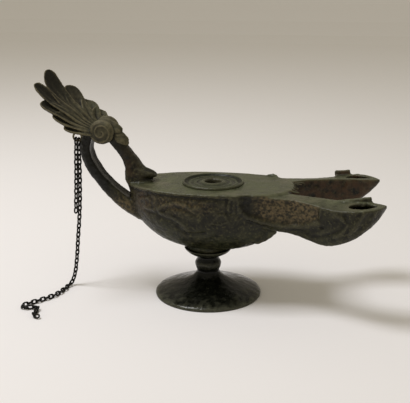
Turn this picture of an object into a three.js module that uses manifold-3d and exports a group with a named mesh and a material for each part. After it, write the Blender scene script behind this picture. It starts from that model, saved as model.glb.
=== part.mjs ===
// Bronze oil lamp with two nozzles, a ring handle under a leaf, and a chain, on a low pedestal foot.
// Millimetres, +Z up. X runs along the lamp, from the leaf (-X) to the nozzles (+X). The table is z = 0.

import * as THREE from "three";
import { mergeVertices } from "three/addons/utils/BufferGeometryUtils.js";
import Module from "manifold-3d";

const wasm = await Module();
wasm.setup();

// Distance from the axis of the foot to the middle of the whole lamp, which is the origin
const FOOT_X = -1.49;

// Castings
const WALL = 2.2;
const SEAT_GAP = 0.3;

// How many sides or steps each round form has
const SIDES = { bowl: 40, cavity: 20, base: 24, rings: 28, hole: 16, nozzle: 14, channel: 8, scroll: 16, foot: 32 };
const STEPS = { bowl: 8, cavity: 6, nozzle: 17, channel: 9, handle: 26, lobe: 8 };

// Bowl: its plan is widest at BOWL_X, and its section is a deep rounded cup under a thin flat top
const BOWL_X = 3;
const BOWL_REAR = 54.5;
const BOWL_FRONT = 49.5;
const BOWL_HALF = 28.6;
const BOWL_TOP = 72;
const BOWL_BOTTOM = 31;
const PLATE_EDGE = 1.4;
const PLATE_INSET = 0.97;
const LIP_SLOPE = 0.6;
const BASE_RADIUS = 13;
const BASE_BOTTOM = 30;
const BASE_TOP = 36;

// Mouldings around the filling hole: radius and height above the flat top, from outside to the hole
const FILL_X = 3;
const FILL_RADIUS = 5;
const MOULDING = [
  [18.7, -0.8], [18.6, 1.8], [17.4, 2.5], [16.1, 1.1], [15, 1.3], [13.9, 0.4], [10.4, 0.4], [7.6, 2.4], [4.6, 2.6],
];

// Nozzles, the far one a mirror of the near, from inside the bowl to the tip: place of the axis, half width,
// top, underside and outward lean
const NOZZLE = [
  { x: 24, y: 14.5, half: 8.5, top: 70.6, under: 50, lean: 0 },
  { x: 40, y: 17, half: 7.2, top: 70.6, under: 49, lean: 0.1 },
  { x: 53, y: 20.6, half: 5.6, top: 70.5, under: 48, lean: 0.4 },
  { x: 61, y: 24.2, half: 5.6, top: 70.4, under: 46.8, lean: 0.9 },
  { x: 70, y: 28.2, half: 6.9, top: 70, under: 45.2, lean: 1.2 },
  { x: 79, y: 32, half: 8.2, top: 69.9, under: 47, lean: 1.0 },
  { x: 88, y: 34, half: 9.1, top: 70.3, under: 51.6, lean: 0.5 },
  { x: 96, y: 33.4, half: 8.1, top: 70.6, under: 57.6, lean: 0.2 },
  { x: 102, y: 31.6, half: 4.9, top: 70.4, under: 63.8, lean: 0.1 },
  { x: 106, y: 29.6, half: 0.7, top: 70.2, under: 69, lean: 0 },
];
const NOZZLE_WALL = 1.9;
const CHANNEL_END = 0.95;

// Wick hole in a nozzle's top: a pointed oval about the line y = WICK_Y, which ends nearer the lamp's middle
const WICK_REAR = 84.5;
const WICK_FRONT = 100.5;
const WICK_HALF = 5;
const WICK_Y = 34;
const WICK_TIP_Y = 32.2;
const WICK_FLOOR = 62;
const WICK_DEPTH = 14;

// Ears beside the wick holes: one on the inner edge of the near nozzle, one on the outer edge of the far one
const EAR_LENGTH = 10.5;
const EAR_THICK = 2.2;
const EAR_HEIGHT = 2.6;
const EAR_ROOT = 70.4;
const EARS = [[91.9, -26.6], [82.5, 41.6]];

// Ring handle, from the back of the bowl up under the leaf and down to the shoulder
const HANDLE = [
  { x: -40, z: 53, half: 8.5, thick: 13 },
  { x: -48.6, z: 57, half: 7.4, thick: 12 },
  { x: -56.8, z: 63, half: 6.5, thick: 10.4 },
  { x: -64.1, z: 70, half: 6.3, thick: 9.2 },
  { x: -70.1, z: 77.6, half: 6.3, thick: 8.8 },
  { x: -74.6, z: 86.2, half: 6.3, thick: 8.6 },
  { x: -75.4, z: 95, half: 6.2, thick: 8.2 },
  { x: -71, z: 102.5, half: 6, thick: 8 },
  { x: -63, z: 101, half: 5.6, thick: 8 },
  { x: -56.4, z: 95, half: 5, thick: 8 },
  { x: -51.9, z: 89, half: 4.8, thick: 8.8 },
  { x: -48, z: 82.5, half: 5.2, thick: 11.4 },
  { x: -46, z: 76, half: 6.4, thick: 16.4 },
  { x: -42, z: 67, half: 7.4, thick: 18 },
];

// Small leaves on the front limb of the ring, the rounded tongue where it spreads on the flat top, and the
// lug of the chain's eye: from and to in the plane y = 0, half width, half thickness
const TRIMS = [
  { from: [-66, 106], to: [-52.8, 102.6], half: 4.8, thick: 3.2 },
  { from: [-61.5, 101], to: [-48.6, 95.6], half: 4.8, thick: 3.2 },
  { from: [-47, 77.6], to: [-31.4, 75.2], half: 5.6, thick: 3.8 },
  { from: [-72, 99.4], to: [-79.8, 98.6], half: 1.9, thick: 1.9 },
];

// Leaf: side profile of its blade from the scroll to the tip, then its lobes from the middle one outward:
// how far out each ends, how much its far tip drops and its near tip rises, how far up the blade, its half
// width on the far side and on the near side, and how deep its spoon is
const LEAF_PROFILE = [[-65, 100.5], [-74.5, 107.5], [-81, 113.8], [-88.6, 120.8], [-95.8, 131], [-98.4, 139.8]];
const LOBES = [
  { side: 0, drop: 0, reach: 1, far: 6.8, near: 6.8, cup: 3.2 },
  { side: 13.5, drop: 1.8, reach: 0.825, far: 7.4, near: 5.2, cup: 3.2 },
  { side: 19.1, drop: 1.2, reach: 0.588, far: 6.8, near: 5.4, cup: 3.2 },
  { side: 19.6, drop: 0.5, reach: 0.397, far: 6.1, near: 5.4, cup: 3.2 },
  { side: 19.6, drop: -0.4, reach: 0.226, far: 5.2, near: 5, cup: 3 },
];
const LEAF_LEAN = 3;
const LEAF_TURN = Math.PI / 6;
const LEAF_THICK = 2.2;
const LOBE_WIDEST = 0.85;
const SPOON_SINK = 0.35;
const TIP_BLUNT = 12;

// Scroll at the foot of the leaf, seen end on from the sides of the lamp
const SCROLL_X = -63.8;
const SCROLL_Z = 103;
const SCROLL_ENDS = [[0, 12.6], [2, 12.2], [3, 11.4], [4.4, 12.2], [6.6, 11.6], [8.3, 8.6]];

// Eye behind the top of the ring handle, which carries the chain
const EYE_X = -81.9;
const EYE_Z = 98.4;
const EYE_RADIUS = 2.6;
const EYE_WIRE = 0.55;

// Chain: links drawn out to rectangles, hung from the eye by a larger round link on each strand
const LINK_PITCH = 2.85;
const LINK_WIRE = 0.42;
const LINK_CORNER = 1.35;
const LINK_STRETCH = 0.6;
const TOP_LINK = 2.4;
const FLOOR_LIE = 1.46;
const SHORT_ROUTE = [
  [-83.1, 0.6, 93.1], [-83.3, 0.6, 90.1], [-83.4, 0.7, 87], [-83.6, 0.7, 83.8], [-83.7, 0.7, 80.6],
  [-83.8, 0.7, 77.4], [-83.9, 0.6, 74.2], [-84.1, 0.6, 71], [-84.2, 0.6, 67.8], [-84.4, 0.5, 64.6],
  [-84.5, 0.5, 61.4], [-84.7, 0.5, 58.2], [-84.9, 0.4, 55.1], [-85, 0.4, 52], [-85.2, 0.4, 49],
];
const LONG_ROUTE = [
  [-80.9, -0.6, 93.1], [-80.9, -0.9, 88], [-81.2, -1, 72], [-81.8, -1, 58], [-82.8, -1, 45], [-84.2, -1, 32],
  [-85.4, -1, 20], [-87, -1.3, 9], [-89, -2.2, 3], [-90.4, -6, FLOOR_LIE], [-91.4, -13, FLOOR_LIE],
  [-94, -22, FLOOR_LIE], [-99.5, -30, FLOOR_LIE], [-105.6, -37, FLOOR_LIE], [-108.2, -41.4, FLOOR_LIE],
  [-105.6, -43.6, FLOOR_LIE], [-101.4, -42.4, FLOOR_LIE], [-98.4, -43.2, FLOOR_LIE], [-97.6, -48.2, FLOOR_LIE],
  [-97, -53.4, FLOOR_LIE], [-93.4, -55.6, FLOOR_LIE],
];

// Pedestal foot: radius and height, up its outside from the table to the rim of the cup
const FOOT_OUTSIDE = [
  [33.2, 0], [33.3, 1.2], [31.6, 2.5], [25.5, 4.9], [20, 6.7], [15, 8.6], [11, 10.6], [8.2, 13], [7, 15.4],
  [8, 18.4], [8.1, 20.6], [6.8, 23.2], [6.8, 24.8], [8.4, 25.9], [11.6, 27.2], [13.9, 28.9], [14.9, 30.4],
];
const FOOT_HOLLOW = [[0, 8.4], [8, 7.2], [17, 4.3], [25, 1.8], [28.6, 0]];
const CUP_LIP = 30.6;
const CUP_PLAY = 0.8;

const BRONZE = new THREE.MeshStandardMaterial({ color: "#3b3a2c", roughness: 0.62, metalness: 0.75 });
const FOOT_BRONZE = new THREE.MeshStandardMaterial({ color: "#33352b", roughness: 0.5, metalness: 0.8 });
const CHAIN_BRONZE = new THREE.MeshStandardMaterial({ color: "#26241f", roughness: 0.6, metalness: 0.8 });

// The mesh alone, with the vertices along its seams made one
function weld(geometry) {
  const bare = geometry.clone();
  bare.deleteAttribute("normal");
  bare.deleteAttribute("uv");
  return mergeVertices(bare, 1e-4);
}

// A closed mesh as a solid, turned inside out first if its faces point inward
function toSolid(geometry) {
  const merged = weld(geometry);
  const points = new Float32Array(merged.getAttribute("position").array);
  const faces = [];
  let volume = 0;
  const corner = [new THREE.Vector3(), new THREE.Vector3(), new THREE.Vector3()];
  for (let i = 0; i < merged.index.count; i += 3) {
    const [a, b, c] = [0, 1, 2].map((k) => merged.index.getX(i + k));
    if (a === b || b === c || c === a) {
      continue;
    }
    [a, b, c].forEach((vertex, k) => corner[k].fromArray(points, 3 * vertex));
    volume += corner[0].dot(corner[1].clone().cross(corner[2]));
    faces.push(a, b, c);
  }
  if (volume < 0) {
    faces.reverse();
  }
  const mesh = new wasm.Mesh({ numProp: 3, vertProperties: points, triVerts: new Uint32Array(faces) });
  return new wasm.Manifold(mesh);
}

function toGeometry(solid) {
  const mesh = solid.getMesh();
  const geometry = new THREE.BufferGeometry();
  geometry.setAttribute("position", new THREE.BufferAttribute(new Float32Array(mesh.vertProperties), 3));
  geometry.setIndex(new THREE.BufferAttribute(new Uint32Array(mesh.triVerts), 1));
  geometry.computeVertexNormals();
  return geometry;
}

function join(solids) {
  return solids.reduce((whole, solid) => whole.add(solid));
}

// A bar that runs along a path: skin gives a point of its surface from a share of the length and an angle
// around the bar, and the middle of each end is the mean of the ring around it
function bar(around, steps, skin) {
  const geometry = new THREE.CylinderGeometry(1, 1, 1, around, steps);
  const position = geometry.getAttribute("position");
  const turn = (Math.PI * 2) / around;
  const ends = [0, 1].map((share) => {
    const middle = new THREE.Vector3();
    for (let k = 0; k < around; k += 1) {
      middle.addScaledVector(skin(share, k * turn), 1 / around);
    }
    return middle;
  });
  for (let i = 0; i < position.count; i += 1) {
    const share = Math.round((0.5 - position.getY(i)) * steps) / steps;
    const [x, z] = [position.getX(i), position.getZ(i)];
    const place = (Math.round(Math.atan2(z, x) / turn) + around) % around;
    const point = Math.hypot(x, z) > 0.5 ? skin(share, place * turn) : ends[share];
    position.setXYZ(i, point.x, point.y, point.z);
  }
  return toSolid(geometry);
}

function lathe(profile, segments) {
  const points = profile.map(([radius, height]) => new THREE.Vector2(radius, height));
  return new THREE.LatheGeometry(points, segments);
}

// The cosine or sine raised to a power, with its sign kept, which squares a rounded outline
function squared(value, power) {
  return Math.sign(value) * Math.abs(value) ** power;
}

function smooth(rows, keys) {
  return new THREE.CatmullRomCurve3(rows.map((row) => new THREE.Vector3(...keys.map((key) => row[key]))));
}

// Plan of the bowl at one angle: a pointed oval behind, a blunt one in front
function bowlPlan(angle, inset) {
  const front = Math.cos(angle) > 0;
  const along = squared(Math.cos(angle), front ? 0.8 : 0.91) * ((front ? BOWL_FRONT : BOWL_REAR) - inset);
  const across = squared(Math.sin(angle), front ? 0.8 : 1.25) * (BOWL_HALF - inset);
  return [along, across];
}

// A closed form with the plan of the bowl, from a profile of plan share and height
function bowlForm(profile, segments, inset) {
  const geometry = lathe(profile, segments);
  const position = geometry.getAttribute("position");
  for (let i = 0; i < position.count; i += 1) {
    const [x, height, z] = [position.getX(i), position.getY(i), position.getZ(i)];
    const share = Math.hypot(x, z);
    const [along, across] = bowlPlan(Math.atan2(x, z), inset);
    position.setXYZ(i, BOWL_X + share * along, share * across, height);
  }
  return toSolid(geometry);
}

function bowlSection(top, bottom, steps) {
  const profile = [[0, bottom]];
  for (let i = 1; i < steps; i += 1) {
    const depth = Math.cos((Math.PI / 2) * (i / steps));
    profile.push([(1 - depth ** 2.2) ** (1 / 2.6), top - depth * (top - bottom)]);
  }
  return profile;
}

function bowl() {
  const wallTop = BOWL_TOP - PLATE_EDGE - LIP_SLOPE;
  const section = bowlSection(wallTop, BOWL_BOTTOM, STEPS.bowl);
  const profile = section.map(([share, height]) => [share * PLATE_INSET, height]);
  profile.push([PLATE_INSET, wallTop], [1, BOWL_TOP - PLATE_EDGE], [1, BOWL_TOP], [0, BOWL_TOP]);
  const core = [[0, BASE_BOTTOM], [BASE_RADIUS, BASE_BOTTOM], [BASE_RADIUS + 1, BASE_TOP], [0, BASE_TOP]];
  const base = lathe(core, SIDES.base).rotateX(Math.PI / 2);
  return bowlForm(profile, SIDES.bowl, 0).add(toSolid(base));
}

function bowlCavity() {
  const top = BOWL_TOP - WALL;
  const profile = bowlSection(top, BOWL_BOTTOM + WALL, STEPS.cavity);
  profile.push([PLATE_INSET, top], [0, top]);
  return bowlForm(profile, SIDES.cavity, WALL + LIP_SLOPE);
}

function fillingMouldings() {
  const profile = [[0, MOULDING[0][1]], ...MOULDING, [0, MOULDING.at(-1)[1]]];
  const rings = lathe(profile, SIDES.rings).rotateX(Math.PI / 2);
  return toSolid(rings.translate(FILL_X, 0, BOWL_TOP));
}

function fillingHole() {
  const hole = new THREE.CylinderGeometry(FILL_RADIUS, FILL_RADIUS, 4 * WALL, SIDES.hole).rotateX(Math.PI / 2);
  return toSolid(hole.translate(FILL_X, 0, BOWL_TOP));
}

// One nozzle, or its channel at an inset: flat above, with upright cheeks that round in to the keel
function nozzleBar(side, inset, around, steps, end) {
  const axis = smooth(NOZZLE, ["x", "y", "lean"]);
  const section = smooth(NOZZLE, ["half", "top", "under"]);
  return bar(around, steps, (share, angle) => {
    const t = end * share;
    const { x, y, z: lean } = axis.getPoint(t);
    const { x: half, y: top, z: under } = section.getPoint(t);
    const width = Math.max(0.4, half - inset);
    const across = squared(Math.cos(angle), 0.6);
    const down = Math.sin(angle) < 0 ? squared(-Math.sin(angle), 0.85) : 0;
    const height = top - inset - down * Math.max(0.8, top - under - 2 * inset) - lean * across;
    return new THREE.Vector3(x, side * (y + width * across), height);
  });
}

// Pointed oval opening in the top of a nozzle, with its point towards the tip
function wickHole(side) {
  const outline = new THREE.Shape();
  const middle = WICK_REAR + (WICK_FRONT - WICK_REAR) * 0.4;
  const bow = (middle + WICK_FRONT) / 2;
  outline.moveTo(WICK_FRONT, WICK_TIP_Y);
  outline.quadraticCurveTo(bow, WICK_Y + WICK_HALF, middle, WICK_Y + WICK_HALF);
  outline.quadraticCurveTo(WICK_REAR, WICK_Y + WICK_HALF, WICK_REAR, WICK_Y);
  outline.quadraticCurveTo(WICK_REAR, WICK_Y - WICK_HALF, middle, WICK_Y - WICK_HALF);
  outline.quadraticCurveTo(bow, WICK_Y - WICK_HALF, WICK_FRONT, WICK_TIP_Y);
  const hole = new THREE.ExtrudeGeometry(outline, { depth: WICK_DEPTH, bevelEnabled: false, curveSegments: 4 });
  return toSolid(hole.translate(0, 0, WICK_FLOOR).scale(1, side, 1));
}

// Upright plate with its rear corner cut away and its front corner rounded
function ear(x, y) {
  const outline = new THREE.Shape();
  outline.moveTo(-EAR_LENGTH / 2, -EAR_HEIGHT);
  outline.lineTo(EAR_LENGTH / 2, -EAR_HEIGHT);
  outline.lineTo(EAR_LENGTH / 2, EAR_HEIGHT * 0.7);
  outline.quadraticCurveTo(EAR_LENGTH / 2, EAR_HEIGHT, EAR_LENGTH * 0.36, EAR_HEIGHT);
  outline.lineTo(-EAR_LENGTH * 0.3, EAR_HEIGHT * 0.86);
  outline.lineTo(-EAR_LENGTH / 2, EAR_HEIGHT * 0.2);
  const plate = new THREE.ExtrudeGeometry(outline, { depth: EAR_THICK, bevelEnabled: false, curveSegments: 3 });
  return toSolid(plate.rotateX(Math.PI / 2).translate(x, y + EAR_THICK / 2, EAR_ROOT));
}

// Bar in the plane y = 0 with a width across it, a hollowed face on its inner side and a rounded outer side
function handleRing() {
  const axis = smooth(HANDLE, ["x", "z", "thick"]);
  const widths = smooth(HANDLE, ["half", "half", "half"]);
  return bar(10, STEPS.handle, (share, angle) => {
    const here = axis.getPoint(share);
    const run = axis.getTangent(share);
    const inward = new THREE.Vector2(run.y, -run.x).normalize();
    const across = squared(Math.cos(angle), 0.7) * widths.getPoint(share).x;
    const rise = Math.sin(angle) > 0 ? 0.62 * squared(Math.sin(angle), 0.5) : squared(Math.sin(angle), 0.9);
    const out = rise * (here.z / 2);
    return new THREE.Vector3(here.x + inward.x * out, across, here.y + inward.y * out);
  });
}

// One lobe of the leaf: a spoon that runs from the scroll out to its own tip over the blade, which is turned
// a little to the near side
function leafLobe({ side, drop, reach, far, near, cup }, hand) {
  const profile = new THREE.CatmullRomCurve3(LEAF_PROFILE.map(([x, z]) => new THREE.Vector3(x, 0, z)));
  const up = new THREE.Vector3(0, 0, 1);
  const aside = new THREE.Vector3(0, hand * side, 0).applyAxisAngle(up, -LEAF_TURN);
  aside.z -= hand * drop;
  const half = hand > 0 ? far : near;
  const middle = (t) => {
    const point = profile.getPointAt(Math.min(1, Math.max(0, reach * t)));
    point.y = -LEAF_LEAN * reach * t;
    return point.addScaledVector(aside, Math.max(0, t) ** (hand > 0 ? 1.25 : 0.95));
  };
  return bar(6, STEPS.lobe, (share, angle) => {
    const t = 0.02 + 0.98 * Math.sin((Math.PI / 2) * share);
    const run = middle(Math.min(1, t + 0.01)).sub(middle(Math.max(0, t - 0.01))).normalize();
    const slope = profile.getTangentAt(Math.min(1, reach * t));
    const front = new THREE.Vector3(slope.z, 0, -slope.x).applyAxisAngle(up, -LEAF_TURN);
    const wide = new THREE.Vector3().crossVectors(run, front).normalize();
    const face = new THREE.Vector3().crossVectors(wide, run);
    const rounding = Math.sqrt(Math.max(0.01, 1 - t ** TIP_BLUNT));
    const swell = (0.5 + 0.5 * Math.sin((Math.PI / 2) * Math.min(1, t / LOBE_WIDEST))) * rounding;
    const across = Math.cos(angle);
    const thick = LEAF_THICK * Math.max(0.22, rounding);
    const lift = cup * (across ** 2 - SPOON_SINK) * t + (Math.sin(angle) * thick) / 2;
    return middle(t).addScaledVector(wide, across * half * swell).addScaledVector(face, lift);
  });
}

function leaf() {
  return join(LOBES.flatMap((lobe) => (lobe.side ? [1, -1] : [1]).map((hand) => leafLobe(lobe, hand))));
}

function scroll() {
  const profile = [...SCROLL_ENDS, ...SCROLL_ENDS.map(([radius, height]) => [radius, -height]).reverse()];
  return toSolid(lathe(profile, SIDES.scroll).translate(SCROLL_X, 0, SCROLL_Z));
}

// An egg-shaped piece of trim between two points of the plane y = 0
function trim({ from, to, half, thick }) {
  const run = new THREE.Vector2(to[0] - from[0], to[1] - from[1]);
  const egg = new THREE.SphereGeometry(1, 10, 6).rotateZ(Math.PI / 2).scale(run.length() / 2, half, thick);
  return toSolid(egg.rotateY(-run.angle()).translate((from[0] + to[0]) / 2, 0, (from[1] + to[1]) / 2));
}

function chainEye() {
  const ring = new THREE.TorusGeometry(EYE_RADIUS, EYE_WIRE, 5, 12).rotateX(Math.PI / 2);
  return toSolid(ring.translate(EYE_X, 0, EYE_Z));
}

function lampBody() {
  const nozzles = [1, -1].map((side) => nozzleBar(side, 0, SIDES.nozzle, STEPS.nozzle, 1));
  const channels = [1, -1].map((side) => nozzleBar(side, NOZZLE_WALL, SIDES.channel, STEPS.channel, CHANNEL_END));
  const outside = join([
    bowl(), fillingMouldings(), ...nozzles, handleRing(), scroll(), leaf(), chainEye(),
    ...TRIMS.map(trim), ...EARS.map(([x, y]) => ear(x, y)),
  ]);
  const inside = join([bowlCavity(), fillingHole(), ...channels, wickHole(1), wickHole(-1)]);
  return outside.subtract(inside);
}

function pedestalFoot() {
  const seat = BASE_BOTTOM - SEAT_GAP;
  const cup = BASE_RADIUS + CUP_PLAY;
  const profile = [...FOOT_HOLLOW, ...FOOT_OUTSIDE, [cup, CUP_LIP], [cup, seat], [0, seat]];
  return toSolid(lathe(profile, SIDES.foot).rotateX(Math.PI / 2));
}

// One link: a four-sided ring drawn out to a rectangle, standing along the path
function chainLink() {
  const ring = new THREE.TorusGeometry(LINK_CORNER, LINK_WIRE, 3, 4).rotateZ(Math.PI / 4);
  const position = ring.getAttribute("position");
  for (let i = 0; i < position.count; i += 1) {
    position.setX(i, position.getX(i) + Math.sign(position.getX(i)) * LINK_STRETCH);
  }
  return weld(ring);
}

// The round link at the top of a strand, around the wire of the eye
function topLink([x, y, z]) {
  const ring = new THREE.TorusGeometry(TOP_LINK, LINK_WIRE, 4, 8).rotateY(Math.PI / 2);
  return toSolid(ring.translate(x, y, z + TOP_LINK));
}

// Links threaded one through the next along a route, each turned a quarter from the last
function chain(route) {
  const path = new THREE.CatmullRomCurve3(route.map((point) => new THREE.Vector3(...point)));
  const count = Math.floor(path.getLength() / LINK_PITCH);
  const link = chainLink();
  const links = [topLink(route[0])];
  for (let i = 0; i < count; i += 1) {
    const share = (i + 0.5) / count;
    const run = path.getTangentAt(share);
    const level = new THREE.Vector3(0, 1, 0.02).cross(run).normalize();
    const turn = new THREE.Matrix4().makeBasis(run, level, run.clone().cross(level));
    turn.multiply(new THREE.Matrix4().makeRotationX(Math.PI / 4 + (i % 2) * (Math.PI / 2)));
    turn.setPosition(path.getPointAt(share));
    links.push(toSolid(link.clone().applyMatrix4(turn)));
  }
  return join(links);
}

function named(name, solid, material) {
  const mesh = new THREE.Mesh(toGeometry(solid), material);
  mesh.name = name;
  return mesh;
}

const group = new THREE.Group();
group.add(
  named("lamp_body", lampBody(), BRONZE),
  named("pedestal_foot", pedestalFoot(), FOOT_BRONZE),
  named("chain_long", chain(LONG_ROUTE), CHAIN_BRONZE),
  named("chain_short", chain(SHORT_ROUTE), CHAIN_BRONZE),
);
group.children.forEach((mesh) => mesh.position.setX(FOOT_X));

export default group;
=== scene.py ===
"""Roman bronze oil lamp: the castings, the leaf, the chain and the stage it stands on."""

import math

import bmesh
import bpy
import numpy as np
from bpy.props import FloatProperty, FloatVectorProperty, IntProperty, PointerProperty
from mathutils import Matrix, Vector, noise


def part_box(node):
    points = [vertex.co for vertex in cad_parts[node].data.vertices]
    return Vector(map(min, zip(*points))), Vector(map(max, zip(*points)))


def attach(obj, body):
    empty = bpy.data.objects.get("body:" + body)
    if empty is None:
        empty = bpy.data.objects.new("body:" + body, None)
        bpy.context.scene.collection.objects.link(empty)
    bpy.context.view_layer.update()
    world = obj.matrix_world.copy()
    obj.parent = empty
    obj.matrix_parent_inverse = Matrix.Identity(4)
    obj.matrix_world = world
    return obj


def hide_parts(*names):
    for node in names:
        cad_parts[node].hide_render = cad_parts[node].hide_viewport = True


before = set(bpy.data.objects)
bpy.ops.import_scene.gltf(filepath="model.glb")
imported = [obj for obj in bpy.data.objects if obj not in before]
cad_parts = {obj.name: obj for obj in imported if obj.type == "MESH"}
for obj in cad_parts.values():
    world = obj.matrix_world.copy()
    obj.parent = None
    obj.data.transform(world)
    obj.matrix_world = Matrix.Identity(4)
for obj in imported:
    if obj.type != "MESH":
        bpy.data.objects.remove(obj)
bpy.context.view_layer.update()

bl_info = {
    "name": "Roman oil lamp",
    "version": (1, 0, 0),
    "blender": (4, 5, 0),
    "location": "3D View > Sidebar > Oil lamp",
    "description": "Models a bronze oil lamp with two nozzles, a leaf over its ring handle and a link chain",
    "category": "Add Mesh",
}

# The drawings are in millimetres from the foot's axis, which stands at FOOT_X in the shared frame
MM = 0.001
FOOT_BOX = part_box("pedestal_foot")
FOOT_X = (FOOT_BOX[0][0] + FOOT_BOX[1][0]) / 2 / MM

# Bowl: middle, reach to the rear, the front and the sides, flat top, bottom, the top's edge and how far the
# wall stands inside it, the base that sits in the foot's cup, and the wall
BOWL_X, BOWL_REAR, BOWL_FRONT, BOWL_HALF = 3.0, 54.5, 49.5, 28.6
BOWL_TOP, BOWL_BOTTOM, PLATE_EDGE, PLATE_INSET = 72.0, 31.0, 1.5, 0.965
BASE_RADIUS, BASE_BOTTOM, BASE_TOP = 13.0, 30.0, 36.0
WALL = 2.2

# Mouldings around the filling hole: radius and height above the flat top, from outside to the hole
FILL_RADIUS = 5.0
MOULDING = [
    (19.0, -0.6), (18.8, 0.8), (18.4, 1.5), (17.9, 1.6), (17.5, 1.1), (17.1, 0.3), (15.6, 0.2), (14.8, 0.6),
    (14.2, 0.7), (13.6, 0.3), (12.2, 0.2), (11.2, 0.6), (10.6, 0.6), (9.8, 0.2), (8.4, 0.5), (7.2, 1.2),
    (6.2, 1.4), (5.5, 1.1), (5.0, 0.4), (4.9, -3.2),
]

# Nozzles: place of the axis, half width, top, underside and outward lean, from inside the bowl to the tip
NOZZLE = [
    (24, 14.5, 8.5, 70.6, 50, 0), (40, 17, 7.2, 70.6, 49, 0.1), (53, 20.6, 5.6, 70.5, 48, 0.4),
    (61, 24.2, 5.6, 70.4, 46.8, 0.9), (70, 28.2, 6.9, 70, 45.2, 1.2), (79, 32, 8.2, 69.9, 47, 1.0),
    (88, 34, 9.1, 70.3, 51.6, 0.5), (96, 33.4, 8.1, 70.6, 57.6, 0.2), (102, 31.6, 4.9, 70.4, 63.8, 0.1),
    (106, 29.6, 0.7, 70.2, 69, 0),
]
NOZZLE_WALL = 1.9

# Wick holes: rear and front, half width, y at the middle and at the tip, the share of the length that is
# round, and the bottom and height of the plug that cuts them
WICK_REAR, WICK_FRONT, WICK_HALF, WICK_Y, WICK_TIP_Y = 84.5, 100.5, 5.0, 34.0, 32.2
WICK_ROUND, WICK_CUT_BOTTOM, WICK_CUT = 0.4, 62, 14

# Ring handle in the plane y = 0: place, half width and thickness, from the back of the bowl to the shoulder
HANDLE = [
    (-40, 53, 8.5, 13), (-48.6, 57, 7.4, 12), (-56.8, 63, 6.5, 10.4), (-64.1, 70, 6.3, 9.2),
    (-70.1, 77.6, 6.3, 8.8), (-74.6, 86.2, 6.3, 8.6), (-75.4, 95, 6.2, 8.2), (-71, 102.5, 6, 8),
    (-63, 101, 5.6, 8), (-56.4, 95, 5, 8), (-51.9, 89, 4.8, 8.8), (-48, 82.5, 5.2, 11.4),
    (-46, 76, 6.4, 16.4), (-42, 67, 7.4, 18),
]

# Leaf: side profile of the blade's middle, then for each pair of lobes how far out it ends, how much its far
# tip drops and its near tip rises, how far up the blade it ends, its half width on the far side and on the
# near side, the depth of its spoon and the share of the spoon behind the blade. Then how far the tip leans to
# the near side, the turn of the whole leaf to that side, and its thickness
LEAF_PROFILE = [(-65, 100.5), (-74.5, 107.5), (-81, 113.8), (-88.6, 120.8), (-95.8, 131), (-98.4, 139.8)]
LOBES = [
    (0, 0, 1.0, 6.6, 6.6, 3.2, 0.3),
    (13.5, 1.8, 0.825, 7.3, 5.0, 3.2, 0.35),
    (19.1, 1.2, 0.588, 6.6, 5.2, 3.2, 0.4),
    (19.6, 0.5, 0.397, 5.9, 5.2, 3.2, 0.4),
    (19.6, -0.4, 0.226, 5.0, 4.8, 3.0, 0.4),
]
LEAF_LEAN = 3.0
LEAF_TURN = math.radians(30)
LEAF_THICK = 2.0

# Rolled base of the leaf: its place, the drum as radius and distance from the middle, and on each end a
# spiral: turns, angle at the start, radius of the coil, of its eye and of the wire, and how far out it stands
SCROLL_X, SCROLL_Z = -64.4, 103.2
DRUM = [(0, -10.4), (3.5, -10.3), (6.0, -9.7), (7.2, -8.6), (7.6, -7.2), (6.6, -5.6), (6.8, -2.6), (7.4, 0)]
SPIRAL_TURNS, SPIRAL_START = 1.6, 3.4
SPIRAL_RADIUS, SPIRAL_EYE, SPIRAL_WIRE, SPIRAL_OUT = 6.2, 0.9, 0.8, 10.2

# Chain: its eye with the root that holds it to the leaf, the links and the two routes, which the solids
# follow too
EYE_X, EYE_Z, EYE_RADIUS, EYE_WIRE = -81.9, 98.4, 2.6, 0.62
EYE_ROOT = ((-72, 99.4), (-79.8, 98.6), 1.9, 1.9)
LINK_PITCH = 3.0
LINK_LONG, LINK_WIDE = 1.86, 1.12
LINK_TURN = math.radians(37)
TOP_LINK = 2.4
FLOOR_LIE = 1.46
SHORT_ROUTE = [
    (-83.1, 0.6, 93.1), (-83.3, 0.6, 90.1), (-83.4, 0.7, 87), (-83.6, 0.7, 83.8), (-83.7, 0.7, 80.6),
    (-83.8, 0.7, 77.4), (-83.9, 0.6, 74.2), (-84.1, 0.6, 71), (-84.2, 0.6, 67.8), (-84.4, 0.5, 64.6),
    (-84.5, 0.5, 61.4), (-84.7, 0.5, 58.2), (-84.9, 0.4, 55.1), (-85, 0.4, 52), (-85.2, 0.4, 49),
]
LONG_ROUTE = [
    (-80.9, -0.6, 93.1), (-80.9, -0.9, 88), (-81.2, -1, 72), (-81.8, -1, 58), (-82.8, -1, 45),
    (-84.2, -1, 32), (-85.4, -1, 20), (-87, -1.3, 9), (-89, -2.2, 3),
]
LONG_ROUTE += [
    (x, y, FLOOR_LIE)
    for x, y in (
        (-90.4, -6), (-91.4, -13), (-94, -22), (-99.5, -30), (-105.6, -37), (-108.2, -41.4),
        (-105.6, -43.6), (-101.4, -42.4), (-98.4, -43.2), (-97.6, -48.2), (-97, -53.4), (-93.4, -55.6),
    )
]

# Pedestal foot: radius and height up its outside, its hollow, and the inner edge, rim and seat of its cup
FOOT_OUTSIDE = [
    (33.2, 0), (33.3, 1.2), (31.6, 2.5), (25.5, 4.9), (20, 6.7), (15, 8.6), (11, 10.6), (8.2, 13), (7, 15.4),
    (8, 18.4), (8.1, 20.6), (6.8, 23.2), (6.8, 24.8), (8.4, 25.9), (11.6, 27.2), (13.9, 28.9), (14.9, 30.4),
]
FOOT_HOLLOW = [(0, 8.4), (8, 7.2), (17, 4.3), (25, 1.8), (28.6, 0)]
CUP_RADIUS, CUP_RIM, CUP_SEAT = BASE_RADIUS + 0.8, 30.6, BASE_BOTTOM - 0.3

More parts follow.
